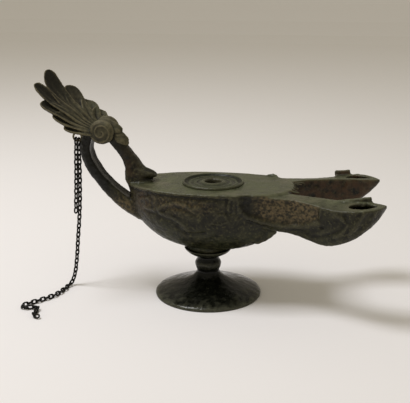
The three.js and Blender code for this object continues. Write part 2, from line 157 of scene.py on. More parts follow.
# Ears beside the wick holes: rear and front end, y, and the height of the rear and of the front
EAR_THICK, EAR_FOOT = 2.2, 68.6
EARS = [(76.5, 97.3, -26.6, 71.2, 74.3), (77.6, 87.6, 41.6, 72.2, 73.0)]

# Leaf-shaped tongue where the ring's front limb spreads on the flat top: place, half width and thickness
TONGUE = [
    (-49, 80, 4.8, 11), (-44.5, 79, 5.6, 10), (-41, 77.4, 5.9, 7.6), (-37.5, 76.8, 5.6, 5.4),
    (-34.5, 76.3, 4.4, 3.8), (-32.2, 75.8, 2.2, 2.0),
]

# Ridge that divides each nozzle's cheek from its keel, as x and z, the sunk panel's rear and front end above
# it, and the upright notch behind the panel: rear, front and bottom
KEEL_RIDGE = [
    (21.1, 66.2), (22.8, 61.9), (26.8, 58.3), (34.9, 55.1), (42.6, 54.1), (51.5, 53.6), (60.2, 55.7),
    (67.5, 58.8),
]
PANEL_REAR, PANEL_FRONT = 29.5, 67.6
NOTCH_REAR, NOTCH_FRONT, NOTCH_BOTTOM = 21.8, 28.6, 59.5

# Worn ornament on the side walls: lines as x and z, with their width and their height when new, and the
# share of the height that wear has left
WORN = 0.85
SIDE_LINES = [
    (KEEL_RIDGE, 1.8, 1.5),
    (
        [
            (-27.1, 60.3), (-23.4, 63.5), (-17.6, 65.5), (-13.3, 65.6), (-10.2, 65.0), (-6.6, 62.8),
            (-1.5, 63.4),
        ],
        1.1, 0.9,
    ),
    ([(-28.5, 58.2), (-22, 61.4), (-15, 62.6), (-9, 61.2), (-5, 59)], 1.3, -0.8),
    ([(-37.1, 57.4), (-29.7, 56.5), (-23.2, 54.3), (-16.9, 52.5), (-13, 49), (-11.1, 46.2)], 1.3, -0.8),
    ([(-36, 60), (-29, 59), (-22.5, 57), (-16, 55.4), (-11.5, 51.5), (-9, 47.5)], 1.4, 0.6),
    ([(-16.4, 50.5), (-14.1, 47.3), (-10.5, 45.5), (-4.9, 45.4), (1, 47)], 1.1, -0.9),
    ([(14.3, 61.5), (14.3, 68.6)], 0.8, -0.9),
    ([(17.2, 60.8), (17.2, 68.6)], 0.8, -0.9),
    ([(20, 61), (20, 68.6)], 0.7, -0.7),
    ([(5.7, 54), (9.4, 59.1), (12.9, 59.9), (15.2, 55.6), (11, 53.2), (5.7, 54)], 1.0, 0.7),
    ([(-40, 66), (-34, 68)], 1.2, -0.7),
    ([(26, 56.2), (33, 53), (38, 51.2), (43, 49.2)], 0.9, -0.7),
    (
        [
            (51.5, 52.2), (57.4, 52.6), (63.3, 50.3), (69, 51.2), (74.5, 54.1), (79.8, 58), (82.8, 63.2),
            (82.1, 66.6),
        ],
        1.1, -0.8,
    ),
    ([(77.2, 65.7), (81.1, 64.7), (83.5, 60.9), (81.5, 56.2), (77.8, 53.5)], 1.3, 0.7),
    ([(69.4, 57.1), (70.2, 57.1)], 0.8, -1.3),
    ([(92.8, 69.6), (90.3, 65.1), (87.9, 60.2), (85.4, 56.6)], 1.1, 0.9),
    ([(95.5, 67), (92.5, 61.5), (89.5, 57)], 1.6, -0.5),
    ([(-44, 69.4), (-30, 69.4), (0, 69.2), (15, 69.0)], 0.6, -0.7),
]

# Patches of colour on the side walls, as x and z of the middle and the reach along each: gold specks on the
# bowl and on the strap of the handle, red-brown at the handle's root and limb, and painted shade on its
# shoulder under the scroll
GOLD_BOWL, GOLD_STRAP = (-14, 64, 17, 4.5), (-52, 57, 7, 6)
BROWN_ROOT, BROWN_LIMB = (-38, 64, 5, 8), (-50, 84, 6, 12)
SHOULDER_SHADE = (-52, 90, 7, 9)

# Torn lip of the flat top over the near wall: x, y, z and thickness
LIP = [
    (15.6, -27.6, 70.2, 0.5), (16.4, -27.5, 69.6, 1.1), (20, -27.1, 69.4, 1.2), (24, -26.4, 69.0, 1.3),
    (27.5, -25.4, 69.2, 1.0), (30.5, -24.4, 70.0, 0.7),
]

# Bits that hang under the keel and the bump on the far edge: x, y, z and radius
HANGING_BITS = [
    (28, -12, 40.8, 3.4), (31.5, -12.5, 39.8, 2.6), (34, -12, 42, 3.6), (37, -12, 44, 3.6),
    (39.5, -13, 46.4, 3.4),
]
EDGE_BUMP = [(36.4, 22.6, 72.2, 1.3), (38.4, 22.3, 72.5, 1.5), (40.4, 21.8, 72.1, 1.2)]

# Spikes of rough metal at the root of the fork: where they start, and y and the x that each reaches
SPIKE_START = 48
FORK_SPIKES = [(-10, 57), (-6, 55.5), (-1, 56.5), (4, 55), (9, 58), (12.5, 60)]

# Flutes of the leaf, and on the front limb of the ring the small leaves, as start and end in the plane y = 0,
# half width, thickness and bow, with the swellings that they lie on
FLUTE = 0.35
SMALL_LEAVES = [((-66, 107.2), (-52.8, 103.6), 4.2, 2.6, 1.8), ((-61, 102.8), (-49.2, 97.0), 4.0, 2.6, 1.4)]
LIMB_SWELLS = [((-66, 106), (-53.4, 102), 4.6, 3.2), ((-61.5, 101), (-49.4, 94.4), 4.8, 3.4)]

# Coarseness of the channel and bowl that are cut out of the casting
HOLLOW_GRAIN = 1.2 * MM

# Camera: the photograph's viewing angle in degrees, its distance and the point it looks at, and the focal
# length, which is 800 pixels on a picture 410 pixels wide
VIEW_AZIMUTH, VIEW_ELEVATION, VIEW_DISTANCE = 7.948, 16.177, 496.0
VIEW_AIM = (-2.06, 0.0, 59.8)
SENSOR = 36
LENS = SENSOR * 800 / 410

# Studio, in metres: half the width of the paper, how high and how far back it rises behind, the radius of its
# bend, and the soft key light with its aim, width and power in watts
PAPER_HALF, PAPER_RISE, PAPER_BACK, PAPER_BEND = 3, 3, 0.4, 1.2
KEY_PLACE, KEY_AIM, KEY_SIZE, KEY_POWER = (-0.42, -0.1, 1.0), (0, 0, 0.06), 0.36, 7.4

# Turn that lays an upright axis along y
LAID = Matrix.Rotation(math.pi / 2, 3, "X")


def linear(code):
    """Linear colour of an sRGB hex value."""
    parts = [int(code[k : k + 2], 16) / 255 for k in (1, 3, 5)]
    return [c / 12.92 if c <= 0.04045 else ((c + 0.055) / 1.055) ** 2.4 for c in parts] + [1.0]


def size_prop(name, description, size):
    """A size that a user may change, from millimetres."""
    return FloatProperty(name=name, description=description, default=size * MM, unit="LENGTH")


class LampSizes(bpy.types.PropertyGroup):
    """Sizes of the lamp's surfaces and its wire."""

    casting_grain: size_prop("Casting grain", "Finest form kept in the body casting", 0.68)
    leaf_grain: size_prop("Leaf grain", "Finest form kept in the leaf", 0.42)
    link_wire: size_prop("Link wire", "Radius of the chain's wire", 0.55)
    pitting: size_prop("Pitting", "Depth of the corrosion on the casting", 0.3)
    foot_sides: IntProperty(name="Foot sides", description="Steps around the foot", default=144)


def colour_prop(name, description, code):
    """A colour that a user may change, from an sRGB hex value."""
    return FloatVectorProperty(name=name, description=description, default=linear(code)[:3], subtype="COLOR")


class LampColours(bpy.types.PropertyGroup):
    """Colours of the patinas, the paper and the light."""

    side: colour_prop("Sides", "Patina on the sides of the casting", "#201f14")
    top: colour_prop("Top", "Patina on the flat top", "#4c4e38")
    leaf: colour_prop("Leaf", "Patina on the leaf", "#4a4633")
    foot: colour_prop("Foot", "Patina on the foot", "#0f100b")
    chain: colour_prop("Chain", "Colour of the chain's wire", "#12110d")
    paper: colour_prop("Paper", "Colour of the paper under the lamp", "#f0edea")
    room: colour_prop("Room", "Light from all around", "#b2ac9e")
    key: colour_prop("Key light", "Light from above", "#f6f7ff")


def add_node(tree, kind, inputs=(), out=0, stops=(), **settings):
    """Adds a node with its settings, and gives back one of its outputs.

    An input takes a value, a hex colour, another node's output, or such an output in brackets with the stops
    of a colour ramp that grades it.
    """
    node = tree.nodes.new(kind)
    for key, value in settings.items():
        setattr(node, key, value)
    for place, value in dict(inputs).items():
        if isinstance(value, tuple):
            value = add_node(tree, "ShaderNodeValToRGB", {"Fac": value[0]}, stops=value[1:])
        if isinstance(value, bpy.types.NodeSocket):
            tree.links.new(value, node.inputs[place])
        else:
            node.inputs[place].default_value = linear(value) if isinstance(value, str) else value
    for k, (place, colour) in enumerate(stops):
        marks = node.color_ramp.elements
        mark = marks[k] if k < len(marks) else marks.new(place)
        mark.position = place
        mark.color = linear(colour) if isinstance(colour, str) else colour
    return node.outputs[out] if node.outputs else None


def smooth(rows):
    """A curve through the rows, as a function of the share of the way along."""
    rows = np.array(rows, float)

    def at(share):
        t = min(max(share, 0.0), 1.0) * (len(rows) - 1)
        i = min(int(t), len(rows) - 2)
        u = t - i
        b, c = rows[i], rows[i + 1]
        a = rows[i - 1] if i else 2 * b - c
        d = rows[i + 2] if i + 2 < len(rows) else 2 * c - b
        bend = (2 * a - 5 * b + 4 * c - d) * u**2
        return 0.5 * (2 * b + (c - a) * u + bend + (3 * b - 3 * c + d - a) * u**3)

    return at


def measured(rows, steps):
    """Points along a smooth curve through the rows, and the length run at each."""
    curve = smooth(rows)
    fine = np.array([curve(k / steps) for k in range(steps + 1)])
    return fine, np.concatenate([[0], np.cumsum(np.linalg.norm(np.diff(fine, axis=0), axis=1))])


def evenly(rows):
    """A curve through the rows, as a function of the share of its length."""
    fine, run = measured(rows, 400)
    return lambda share: [np.interp(share * run[-1], run, column) for column in fine.T]


def squared(value, power):
    """value raised to a power with its sign kept, which squares a rounded outline."""
    return math.copysign(abs(value) ** power, value)


def new_object(name, bm):
    """The drawing in millimetres from the foot's axis, as an object in metres in the shared frame."""
    bm.transform(Matrix.Scale(MM, 4) @ Matrix.Translation((FOOT_X, 0, 0)))
    mesh = bpy.data.meshes.new(name)
    bm.to_mesh(mesh)
    bm.free()
    obj = bpy.data.objects.new(name, mesh)
    bpy.context.scene.collection.objects.link(obj)
    return obj


def tidy(bm):
    """Closes the seams and turns the faces outwards."""
    bmesh.ops.remove_doubles(bm, verts=bm.verts, dist=1e-4)
    bmesh.ops.holes_fill(bm, edges=bm.edges, sides=0)
    bmesh.ops.recalc_face_normals(bm, faces=bm.faces)
    return bm


def sleeve(around, steps, place):
    """A closed bar: a grid rolled up, whose points place gives from a share of the way and an angle."""
    bm = bmesh.new()
    bmesh.ops.create_grid(bm, x_segments=around, y_segments=steps, size=0.5)
    for vert in bm.verts:
        vert.co = place(vert.co.y + 0.5, (vert.co.x + 0.5) * math.tau)
    return tidy(bm)


def turned(profile, sides, x=0.0, close=True):
    """A profile of radius and height spun around an upright axis."""
    bm = bmesh.new()
    verts = [bm.verts.new((radius, 0, height)) for radius, height in profile]
    for a, b in zip(verts, verts[1:]):
        bm.edges.new((a, b))
    if close:
        bm.edges.new((verts[-1], verts[0]))
    outline = bm.verts[:] + bm.edges[:]
    bmesh.ops.spin(
        bm, geom=outline, cent=(0, 0, 0), axis=(0, 0, 1), angle=math.tau, steps=sides, use_merge=True
    )
    bmesh.ops.remove_doubles(bm, verts=bm.verts, dist=1e-4)
    bmesh.ops.recalc_face_normals(bm, faces=bm.faces)
    bmesh.ops.translate(bm, verts=bm.verts, vec=(x, 0, 0))
    return bm


def raised(bm, height):
    """A flat outline as a block of a height."""
    made = bmesh.ops.extrude_face_region(bm, geom=bm.faces[:])["geom"]
    verts = [part for part in made if isinstance(part, bmesh.types.BMVert)]
    bmesh.ops.translate(bm, verts=verts, vec=(0, 0, height))
    bmesh.ops.recalc_face_normals(bm, faces=bm.faces)
    return bm


def joined(forms):
    """Several drawings as one."""
    whole = bmesh.new()
    for form in forms:
        mesh = bpy.data.meshes.new("form")
        form.to_mesh(mesh)
        form.free()
        whole.from_mesh(mesh)
        bpy.data.meshes.remove(mesh)
    return whole


def applied(obj, kind, **settings):
    """The object with one modifier applied to its mesh."""
    modifier = obj.modifiers.new(kind.title(), kind)
    for key, value in settings.items():
        setattr(modifier, key, value)
    graph = bpy.context.evaluated_depsgraph_get()
    mesh = bpy.data.meshes.new_from_object(obj.evaluated_get(graph), depsgraph=graph)
    obj.modifiers.clear()
    old = obj.data
    obj.data = mesh
    bpy.data.meshes.remove(old)
    return obj


def read_points(obj):
    """Places of the mesh's points in millimetres from the foot's axis, and their normals."""
    count = len(obj.data.vertices)
    places, normals = np.empty(count * 3), np.empty(count * 3)
    obj.data.vertices.foreach_get("co", places)
    obj.data.vertices.foreach_get("normal", normals)
    return places.reshape(-1, 3) / MM - [FOOT_X, 0, 0], normals.reshape(-1, 3)


def write_points(obj, places):
    """Moves the mesh's points to places in millimetres from the foot's axis."""
    obj.data.vertices.foreach_set("co", ((places + [FOOT_X, 0, 0]) * MM).ravel())
    obj.data.update()


def lumps(places, size, seed, octaves=3):
    """Smooth noise between about -1 and 1 whose largest lumps are as wide as size in millimetres."""
    shift = Vector((seed * 17.3, seed * 9.1, seed * 5.7))
    return np.array([noise.fractal(Vector(place) / size + shift, 0.9, 2.0, octaves) for place in places])


def near_line(places, points, width):
    """Closeness to a line drawn on the lamp's side as x and z: 1 on it, fading over its width."""
    flat = places[:, [0, 2]]
    best = np.full(len(flat), 1e9)
    for start, end in zip(np.array(points, float), np.array(points[1:], float)):
        run = end - start
        share = np.clip((flat - start) @ run / (run @ run), 0, 1)
        best = np.minimum(best, np.linalg.norm(flat - start - share[:, None] * run, axis=1))
    return np.exp(-((best / width) ** 2))


def rise(value, place, width):
    """Goes from 0 to 1 as value passes place."""
    return 1 / (1 + np.exp(-np.clip((value - place) / width, -40, 40)))


def hollowness(obj, reach):
    """How deep each point lies in a hollow, in millimetres, from the mesh smoothed over reach steps."""
    places, normals = read_points(obj)
    edges = np.empty(len(obj.data.edges) * 2, int)
    obj.data.edges.foreach_get("vertices", edges)
    first, second = edges.reshape(-1, 2).T
    near = np.bincount(edges, minlength=len(places))[:, None]
    even = places.copy()
    for _ in range(reach):
        total = np.zeros_like(even)
        for axis in range(3):
            total[:, axis] += np.bincount(first, even[second, axis], len(even))
            total[:, axis] += np.bincount(second, even[first, axis], len(even))
        even = total / near
    return np.einsum("ij,ij->i", even - places, normals)


def weathered(obj, bumps, bare=-99.0):
    """Wears the skin with lumps, given as depth, width and seed. Below the height bare it stays even."""
    places, normals = read_points(obj)
    depth = sum(deep * lumps(places, size, seed) for deep, size, seed in bumps)
    write_points(obj, places + normals * (rise(places[:, 2], bare, 0.3) * depth)[:, None])


def note(obj, name, values):
    """Keeps a value for each point, which the material reads by its name."""
    attribute = obj.data.attributes.new(name, "FLOAT", "POINT")
    attribute.data.foreach_set("value", np.asarray(values, np.float32))


def bowl_plan(angle, inset=0.0):
    """Plan of the bowl at one angle: a pointed oval behind, a blunt one in front."""
    front = math.cos(angle) > 0
    along = squared(math.cos(angle), 0.8 if front else 0.91) * ((BOWL_FRONT if front else BOWL_REAR) - inset)
    across = squared(math.sin(angle), 0.8 if front else 1.25) * (BOWL_HALF - inset)
    return along, across


def bowl_form(top, bottom, shrink, inset, segments=96, rings=48):
    """A ball pressed into the bowl's plan and section, flat on top."""
    bm = bmesh.new()
    bmesh.ops.create_uvsphere(bm, u_segments=segments, v_segments=rings, radius=1)
    for vert in bm.verts:
        x, y, z = vert.co
        depth = max(0.0, -z)
        share = math.hypot(x, y) if z >= 0 else (max(0.0, 1 - depth**2.2)) ** (1 / 2.6)
        along, across = bowl_plan(math.atan2(y, x), inset)
        vert.co = (BOWL_X + share * shrink * along, share * shrink * across, top - depth * (top - bottom))
    return tidy(bm)


def plate_form():
    """The thin flat top, whose edge stands a little proud of the wall."""
    bm = bmesh.new()
    rim = bmesh.ops.create_circle(bm, cap_ends=True, segments=180, radius=1)["verts"]
    for vert in rim:
        along, across = bowl_plan(math.atan2(vert.co.y, vert.co.x))
        vert.co = (BOWL_X + along, across, BOWL_TOP - PLATE_EDGE)
    return raised(bm, PLATE_EDGE)


def nozzle_form(side, inset, around, steps, end=1.0):
    """One nozzle, or its channel at an inset: flat above, with upright cheeks that round in to the keel."""
    station = smooth(NOZZLE)

    def place(share, angle):
        x, y, half, top, under, lean = station(share * end)
        width = max(0.4, half - inset)
        across = squared(math.cos(angle), 0.6)
        down = squared(-math.sin(angle), 0.85) if math.sin(angle) < 0 else 0.0
        height = top - inset - down * max(0.8, top - under - 2 * inset) - lean * across
        return x, side * (y + width * across), height

    return sleeve(around, steps, place)


def wick_form(side):
    """Pointed oval plug that cuts the wick hole, round behind and drawn in to a point over its front part."""
    bm = bmesh.new()
    rim = bmesh.ops.create_circle(bm, cap_ends=True, segments=40, radius=1)["verts"]
    length = WICK_FRONT - WICK_REAR
    for vert in rim:
        along = (vert.co.x + 1) / 2
        ahead = max(0.0, along - WICK_ROUND)
        y = WICK_Y + (WICK_TIP_Y - WICK_Y) * ahead / (1 - WICK_ROUND)
        half = abs(vert.co.y) if along < WICK_ROUND else 1 - (ahead / (1 - WICK_ROUND)) ** 2
        across = side * (y + math.copysign(WICK_HALF * half, vert.co.y))
        vert.co = (WICK_REAR + length * along, across, WICK_CUT_BOTTOM)
    return raised(bm, WICK_CUT)


def handle_form():
    """Ring handle in the plane y = 0, its inner face hollowed between two ridges, its outer face round."""
    station = smooth(HANDLE)

    def place(share, angle):
        x, z, half, thick = station(share)
        ahead, behind = station(share + 0.01), station(share - 0.01)
        run = Vector((ahead[0] - behind[0], ahead[1] - behind[1])).normalized()
        across = squared(math.cos(angle), 0.7)
        if math.sin(angle) > 0:
            bulge = squared(math.sin(angle), 0.5) * (0.55 + 0.4 * abs(across) ** 2)
        else:
            bulge = squared(math.sin(angle), 0.9)
        out = bulge * thick / 2
        return x + run.y * out, across * half, z - run.x * out

    return sleeve(28, 120, place)


def lobe_form(side, drop, reach, far_half, near_half, cup, sink, hand):
    """One lobe of the leaf: a fluted spoon that runs from the scroll out to its own round tip."""
    profile = evenly(LEAF_PROFILE)
    turn = Matrix.Rotation(-LEAF_TURN, 3, "Z")
    aside = turn @ Vector((0, hand * side, 0)) - Vector((0, 0, hand * drop))
    half = far_half if hand > 0 else near_half

    def middle(t):
        x, z = profile(reach * t)
        return Vector((x, -LEAF_LEAN * reach * t, z)) + aside * max(0.0, t) ** (1.25 if hand > 0 else 0.95)

    def place(share, angle):
        t = 0.02 + 0.98 * math.sin(math.pi / 2 * share)
        run = (middle(min(1.0, t + 0.01)) - middle(t - 0.01)).normalized()
        ahead, behind = profile(min(1.0, reach * t + 0.02)), profile(reach * t - 0.02)
        face = (turn @ Vector((ahead[1] - behind[1], 0, behind[0] - ahead[0]))).normalized()
        wide = run.cross(face).normalized()
        face = wide.cross(run)
        rounding = math.sqrt(max(0.02, 1 - t**11))
        swell = (0.5 + 0.5 * math.sin(math.pi / 2 * min(1.0, t / 0.8))) * rounding
        across = math.cos(angle)
        thick = LEAF_THICK * (0.45 + 0.55 * rounding)
        lift = cup * (across**2 - sink) * t * rounding + math.sin(angle) * thick / 2
        ribs = math.cos(across * math.tau * 1.5) * (1 - t**3) + 1.1 * across**6
        lift += FLUTE * ribs * max(0.0, math.sin(angle)) * rounding
        return middle(t) + wide * (across * half * swell) + face * lift

    return sleeve(48, 70, place)


def small_leaf(start, end, half, thick, lift):
    """A pointed leaf with a raised midrib, lying between two points of the plane y = 0."""
    start, end = Vector((start[0], 0, start[1])), Vector((end[0], 0, end[1]))
    run = (end - start).normalized()
    face = Vector((-run.z, 0, run.x))

    def place(share, angle):
        swell = max(0.02, math.sin(math.pi * min(1.0, share * 0.8 + 0.2)) ** 0.8)
        across = math.cos(angle)
        bow = lift * math.sin(math.pi * share) - 0.35 * half * across**2
        height = bow + math.sin(angle) * thick * swell / 2 + 0.5 * math.exp(-((across / 0.2) ** 2))
        return start + (end - start) * share + Vector((0, across * half * swell, 0)) + face * height

    return sleeve(28, 30, place)


def scroll_forms():
    """The rolled base of the leaf: a waisted drum with a spiral standing on each end."""
    profile = DRUM + [(radius, -height) for radius, height in DRUM[-2::-1]]
    drum = turned(profile, 64, close=False)
    bmesh.ops.rotate(drum, cent=(0, 0, 0), matrix=LAID, verts=drum.verts)
    forms = [drum]
    for hand in (1, -1):

        def place(share, angle):
            turn = math.tau * SPIRAL_TURNS * share + SPIRAL_START
            radius = SPIRAL_RADIUS * (1 - share) ** 0.85 + SPIRAL_EYE * share
            wire = SPIRAL_WIRE * (1 - 0.3 * share)
            out = radius + math.cos(angle) * wire
            dome = SPIRAL_OUT - 1.3 * (radius / SPIRAL_RADIUS) ** 3
            return math.cos(turn) * out, hand * (dome + math.sin(angle) * wire), math.sin(turn) * out

        forms.append(sleeve(12, 140, place))
    for form in forms:
        bmesh.ops.translate(form, verts=form.verts, vec=(SCROLL_X, 0, SCROLL_Z))
    return forms


def tongue_form():
    """The leaf-shaped foot of the ring's front limb, with a low rib along it."""
    station = smooth(TONGUE)

    def place(share, angle):
        x, z, half, thick = station(share)
        across = math.cos(angle)
        rib = 0.7 * math.exp(-((across / 0.18) ** 2)) - 0.4 * math.exp(-(((abs(across) - 0.45) / 0.15) ** 2))
        height = squared(math.sin(angle), 0.8) * thick / 2 + max(0.0, math.sin(angle)) * rib
        return x, across * half, z + height

    return sleeve(32, 40, place)


def egg_form(start, end, half, thick):
    """An egg between two points of the plane y = 0."""
    bm = bmesh.new()
    bmesh.ops.create_uvsphere(bm, u_segments=24, v_segments=16, radius=1)
    run = Vector((end[0] - start[0], 0, end[1] - start[1]))
    bmesh.ops.scale(bm, vec=(run.length / 2, half, thick), verts=bm.verts)
    turn = Matrix.Rotation(-math.atan2(run.z, run.x), 3, "Y")
    bmesh.ops.rotate(bm, cent=(0, 0, 0), matrix=turn, verts=bm.verts)
    bmesh.ops.translate(bm, verts=bm.verts, vec=((start[0] + end[0]) / 2, 0, (start[1] + end[1]) / 2))
    return bm


def new_material(name, spots, notes=()):
    """A material with its noises, as width of the spots in millimetres and detail, and its noted values."""
    material = bpy.data.materials.new(name)
    material.use_nodes = True
    tree = material.node_tree
    tree.nodes.clear()
    place = add_node(tree, "ShaderNodeTexCoord", out="Object")
    noises = [
        add_node(tree, "ShaderNodeTexNoise", {"Vector": place, "Scale": 1 / (size * MM), "Detail": detail})
        for size, detail in spots
    ]
    noted = [add_node(tree, "ShaderNodeAttribute", out="Fac", attribute_name=note) for note in notes]
    return material, tree, noises, noted


def tones(colour, *stops):
    """Ramp stops of one colour, from pairs of place and how pale the colour is there."""
    return [(place, [c * pale for c in colour[:3]] + [1.0]) for place, pale in stops]


def surface(tree, base, layers, roughness, metallic, shine, heights=()):
    """Lays the layers over the base colour and ends the tree in a bumped surface.

    A layer is a colour with its shares, which multiply. A height is a value with its depth in millimetres.
    """
    for colour, *shares in layers:
        laid = shares[0]
        for share in shares[1:]:
            laid = add_node(tree, "ShaderNodeMath", {0: laid, 1: share}, operation="MULTIPLY", use_clamp=True)
        base = add_node(tree, "ShaderNodeMix", {0: laid, 6: base, 7: colour}, out=2, data_type="RGBA")
    normal = {}
    for value, depth in heights:
        inputs = {"Height": value, "Distance": depth * MM, "Strength": 1.0, **normal}
        normal = {"Normal": add_node(tree, "ShaderNodeBump", inputs)}
    inputs = {"Base Color": base, "Roughness": roughness, "Metallic": metallic, "Specular IOR Level": shine}
    shader = add_node(tree, "ShaderNodeBsdfPrincipled", {**inputs, **normal})
    add_node(tree, "ShaderNodeOutputMaterial", {"Surface": shader})


def casting_patina(colours):
    """Cast bronze long buried: a matt dark skin, chalky and green on top, gold and red-brown where worn."""
    # Mineral patches, mottle, and the grain and specks of the skin, which are finer on the real one and are
    # drawn as coarse as they need to show
    material, tree, (broad, mottle, grain, specks), (top, gold, brown, green, hollow, dark) = new_material(
        "Buried bronze patina",
        ((14, 5), (5, 6), (1.2, 3), (1.6, 3)),
        ("top", "gold", "brown", "green", "hollow", "dark"),
    )
    side = (mottle, *tones(colours.side, (0.34, 0.3), (0.5, 1), (0.66, 1.9)))
    flat = (mottle, *tones(colours.top, (0.32, 0.6), (0.5, 1), (0.68, 1.4)))
    chalk = (broad, (0.5, "#000000"), (0.68, "#a0a0a0"))
    flat = add_node(tree, "ShaderNodeMix", {0: chalk, 6: flat, 7: "#756c5a"}, out=2, data_type="RGBA")
    layers = (
        ("#5f5c3c", (specks, (0.55, "#000000"), (0.66, "#a0a0a0"))),
        (flat, top),
        ("#64563c", gold, (specks, (0.4, "#484848"), (0.6, "#f0f0f0"))),
        ("#43301f", brown, (mottle, (0.36, "#000000"), (0.58, "#ffffff"))),
        ("#3f472e", green, (broad, (0.36, "#202020"), (0.6, "#d0d0d0"))),
        # Darker in the hollows, then the edges that hands have rubbed
        ("#11110c", (hollow, (0.54, "#000000"), (0.9, "#e0e0e0"))),
        ("#5d5a45", (hollow, (0.2, "#c0c0c0"), (0.46, "#000000")), grain),
        # Painted shade on the back of the ring, on its shoulder under the scroll and in the notches
        ("#0e0e0a", dark, 0.92),
    )
    rough = (mottle, (0.3, "#8c8c8c"), (0.7, "#b8b8b8"))
    surface(tree, side, layers, rough, 0.1, 0.22, ((mottle, 0.5), (grain, 0.25)))
    return material


def leaf_patina(colours):
    """The same bronze, browner and smoother from handling, dark in its flutes, with painted shade under the
    blade and in the lobes' cupped tips.
    """
    # Green patches, mottle, and the grain, drawn as coarse as it needs to show
    material, tree, (broad, mottle, grain), (hollow, under, tips) = new_material(
        "Brown leaf patina", ((10, 5), (3.6, 6), (1.1, 3)), ("hollow", "under", "tips")
    )
    base = (mottle, *tones(colours.leaf, (0.32, 0.6), (0.5, 1), (0.7, 1.4)))
    layers = (
        ("#454b36", (broad, (0.45, "#000000"), (0.65, "#909090"))),
        # Painted shade in the cupped tips of the lobes, then on the faces that turn down under the blade
        ("#211f19", tips, 0.9),
        ("#201f18", under, 0.8),
        ("#14130e", (hollow, (0.52, "#000000"), (0.8, "#f0f0f0"))),
        ("#7a7156", (hollow, (0.22, "#ffffff"), (0.46, "#000000")), grain),
    )
    surface(tree, base, layers, 0.68, 0.1, 0.25, ((mottle, 0.2), (grain, 0.12)))
    return material


def foot_patina(colours):
    """Turned bronze under an even black-green skin, smoother than the casting, with a dull sheen."""
    # Green patches, mottle, and the grain, drawn as coarse as it needs to show
    material, tree, (broad, mottle, grain), (hollow,) = new_material(
        "Smooth foot patina", ((12, 5), (3, 5), (1.0, 2)), ("hollow",)
    )
    base = (mottle, *tones(colours.foot, (0.32, 0.6), (0.5, 1), (0.72, 1.9)))
    layers = (
        ("#1e2119", (broad, (0.48, "#000000"), (0.66, "#808080"))),
        ("#0b0b08", (hollow, (0.52, "#000000"), (0.75, "#ffffff"))),
        ("#5a5a4a", (hollow, (0.2, "#ffffff"), (0.44, "#000000")), grain),
    )
    rough = (mottle, (0.35, "#5c5c5c"), (0.65, "#8c8c8c"))
    surface(tree, base, layers, rough, 0.1, 0.2, ((mottle, 0.16), (grain, 0.1)))
    return material


def wire_patina(colours):
    """Drawn bronze wire gone nearly black, a little brown where the links rub."""
    material, tree, (mottle,), _ = new_material("Blackened bronze wire", ((1.6, 3),))
    base = (mottle, *tones(colours.chain, (0.35, 0.6), (0.55, 1)), (0.75, "#3c3326"))
    surface(tree, base, (), 0.55, 0.3, 0.3, ((mottle, 0.08),))
    return material


def paper_finish(colours):
    """Uncoated paper, matt all over, which takes a soft shadow and gives back no shine."""
    material, tree, _, _ = new_material("Pale paper", ())
    surface(tree, [*colours.paper, 1.0], (), 1.0, 0.0, 0.0)
    return material


def finished(obj, material, slot, *nodes):
    """Smooths the piece's faces, gives it its material and its body, and hides the solids that it stands for.
    """
    obj.data.polygons.foreach_set("use_smooth", [True] * len(obj.data.polygons))
    obj.data.materials.clear()
    obj.data.materials.append(material)
    if nodes:
        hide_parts(*nodes)
    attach(obj, "root")
    return obj


def route_points(route, step):
    """Middles of the links along a smooth route, their directions, the route's fine points and its length."""
    fine, run = measured(route, 2000)
    count = int(run[-1] / step)
    places = (np.arange(count) + 0.5) / count * run[-1]
    middles, ahead, behind = (
        np.stack([np.interp(places + aside, run, column) for column in fine.T], -1)
        for aside in (0, 0.3, -0.3)
    )
    return middles, ahead - behind, fine, run[-1]


def link_form(bm, wire, half_long, half_wide, place):
    """One oval link of round wire, put where place says."""
    ring = bmesh.ops.create_circle(bm, segments=5, radius=wire)["verts"]
    bmesh.ops.rotate(bm, cent=(0, 0, 0), matrix=LAID, verts=ring)
    bmesh.ops.translate(bm, verts=ring, vec=(half_wide, 0, 0))
    outline = ring + list(dict.fromkeys(edge for vert in ring for edge in vert.link_edges))
    start = len(bm.verts) - len(ring)
    bmesh.ops.spin(
        bm, geom=outline, cent=(0, 0, 0), axis=(0, 0, 1), angle=math.tau, steps=12, use_merge=True
    )
    bm.verts.ensure_lookup_table()
    verts = bm.verts[start:]
    for vert in verts:
        angle = math.atan2(vert.co.y, vert.co.x)
        vert.co.x += math.copysign(min(1.0, abs(math.cos(angle)) * 3), vert.co.x) * (half_long - half_wide)
    bmesh.ops.transform(bm, matrix=place, verts=verts)


def chain(name, route, wire):
    """A strand of oval links, each turned a quarter from the last, under a round top link."""
    points, runs, fine, length = route_points(route, LINK_PITCH)
    bm = bmesh.new()
    hang = Matrix.Translation(Vector(route[0]) + Vector((0, 0, TOP_LINK)))
    link_form(bm, wire, TOP_LINK, TOP_LINK, hang @ Matrix.Rotation(math.pi / 2, 4, "Y"))
    for k, (point, run) in enumerate(zip(points, runs)):
        forward = Vector(run).normalized()
        level = Vector((0, 1, 0.02)).cross(forward).normalized()
        basis = Matrix((forward, level, forward.cross(level))).transposed().to_4x4()
        quarter = Matrix.Rotation(LINK_TURN + (k % 2) * math.pi / 2, 4, "X")
        link_form(bm, wire, LINK_LONG, LINK_WIDE, Matrix.Translation(point) @ basis @ quarter)
    bmesh.ops.recalc_face_normals(bm, faces=bm.faces)
    obj = new_object(name, bm)
    start = np.array([route[0]]) + [[0, 0, 2 * TOP_LINK]]
    path = (np.concatenate([start, fine[::10]]) + [[FOOT_X, 0, 0]]) * MM
    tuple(path[0])
    return obj


